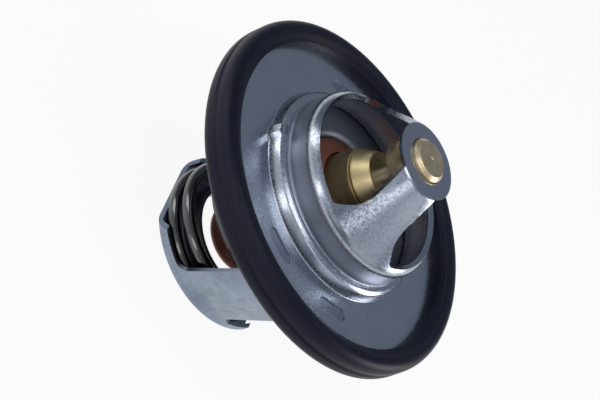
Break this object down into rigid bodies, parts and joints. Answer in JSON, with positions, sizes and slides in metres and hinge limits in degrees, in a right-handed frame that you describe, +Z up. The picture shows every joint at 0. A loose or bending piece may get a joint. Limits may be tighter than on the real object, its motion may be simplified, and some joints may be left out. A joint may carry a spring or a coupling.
{
  "type": "engine thermostat",
  "caption": "Engine coolant thermostat insert with a flanged steel bridge, rubber seal ring, wax element, valve disc, coil spring and lower cage.",
  "frame": {"origin": "on the axis, in the mid-plane of the seal ring", "axes": "+Z up the axis towards the brass pin, +X through the middle of one leg of the cage"},
  "size_m": [0.067, 0.067, 0.0502],
  "materials": {
    "drawn_steel": "tumbled bright steel sheet",
    "spring_steel": "smooth drawn wire",
    "ground_steel": "ground rod",
    "brass": "turned brass",
    "copper": "dull drawn copper",
    "rubber": "moulded rubber",
    "wax": "wax filled with copper powder",
    "support_plastic": "hard plastic"
  },
  "bodies": {
    "frame": {"housing": "drawn_steel", "seal_ring": "rubber", "bridge_pin": "brass", "piston": "ground_steel", "main_spring": "spring_steel", "spring_cage": "drawn_steel"},
    "valve": {"valve_disc": "drawn_steel", "wax_cup": "copper", "piston_guide": "brass", "rubber_boot": "rubber", "wax_charge": "wax", "support_ring": "support_plastic"}
  },
  "joints": [
    {"name": "valve_lift", "type": "slide", "parent": "frame", "child": "valve", "axis": [0, 0, 1], "range_m": [-0.009, 0], "stiffness_N_per_m": 4000, "springref_m": 0.005, "deforming": ["main_spring"]}
  ]
}
